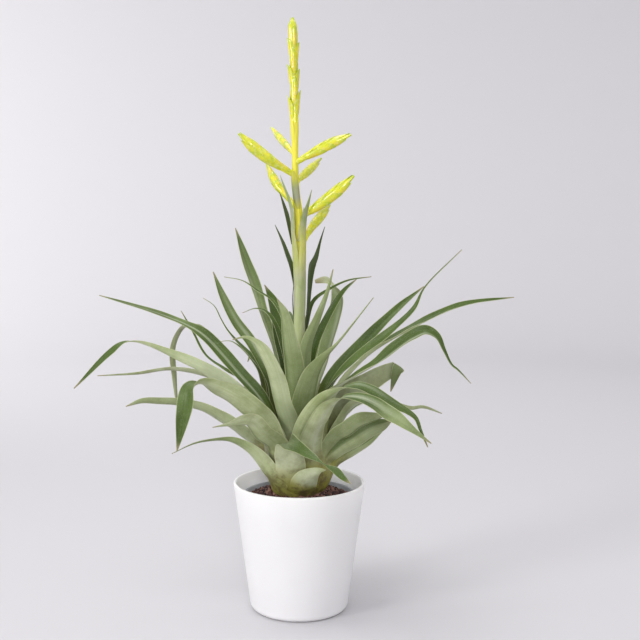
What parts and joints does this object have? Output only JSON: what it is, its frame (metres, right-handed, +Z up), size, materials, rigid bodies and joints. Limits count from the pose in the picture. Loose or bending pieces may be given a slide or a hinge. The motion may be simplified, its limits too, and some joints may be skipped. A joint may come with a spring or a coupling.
{
  "type": "potted air plant",
  "caption": "Rosette of long arching grey-green leaves with a tall branched yellow flower spike, growing in bark mix in a plain round white pot.",
  "frame": {"origin": "centre of the pot's flat underside", "axes": "+Z up along the pot's axis, +X to the right as seen from the front, the front faces -Y"},
  "size_m": [0.4523, 0.3068, 0.606],
  "materials": {
    "white_glaze": "satin white glaze",
    "grey_plastic": "matt",
    "bark_mix": "rough damp bark granules",
    "plant_stem": "rough, olive brown",
    "leaf": "matt sage green with a silvery bloom",
    "flower_stalk": "satin pale green, yellow above",
    "flower_spike": "satin yellow with green tips"
  },
  "bodies": {
    "root": {"cover_pot": "white_glaze", "nursery_pot": "grey_plastic", "soil": "bark_mix", "short_stem": "plant_stem", "leaf_heart_right": "leaf", "leaf_heart_crossing": "leaf", "leaf_heart_left_curled": "leaf", "leaf_heart_left_thread": "leaf", "leaf_front_right_upright": "leaf", "leaf_back_left_broad": "leaf", "leaf_back_right_curled": "leaf", "leaf_front_upright": "leaf", "leaf_left_tall": "leaf", "leaf_left_upright": "leaf", "leaf_right_upright": "leaf", "leaf_front_right_thread": "leaf", "leaf_back_upright": "leaf", "leaf_left_high_long": "leaf", "leaf_right_hair_tip": "leaf", "leaf_right_long": "leaf", "leaf_front_left_broad": "leaf", "leaf_back_left_thread": "leaf", "leaf_back_right_arching": "leaf", "leaf_right_drooping": "leaf", "leaf_left_long": "leaf", "leaf_left_slim": "leaf", "leaf_right_folded": "leaf", "leaf_front_right_arching": "leaf", "leaf_back_left_arching": "leaf", "leaf_right_low_thread": "leaf", "leaf_left_folded": "leaf", "leaf_back_left_curled": "leaf", "leaf_front_right_pale": "leaf", "leaf_left_thread": "leaf", "leaf_back_low": "leaf", "leaf_front_left_curled": "leaf", "leaf_right_low_broad": "leaf", "leaf_back_left_drooping": "leaf", "leaf_back_right_low": "leaf", "leaf_left_low": "leaf", "leaf_right_low": "leaf", "leaf_back_left_low": "leaf", "leaf_front_folded": "leaf", "leaf_right_lowest": "leaf", "leaf_front_short": "leaf", "leaf_left_lowest": "leaf", "flower_stalk": "flower_stalk", "spike_back_right_low": "flower_spike", "spike_right_low": "flower_spike", "spike_back_left": "flower_spike", "spike_back_right_high": "flower_spike", "spike_left": "flower_spike", "spike_right_high": "flower_spike", "spike_back_left_high": "flower_spike", "spike_end": "flower_spike"}
  },
  "joints": []
}
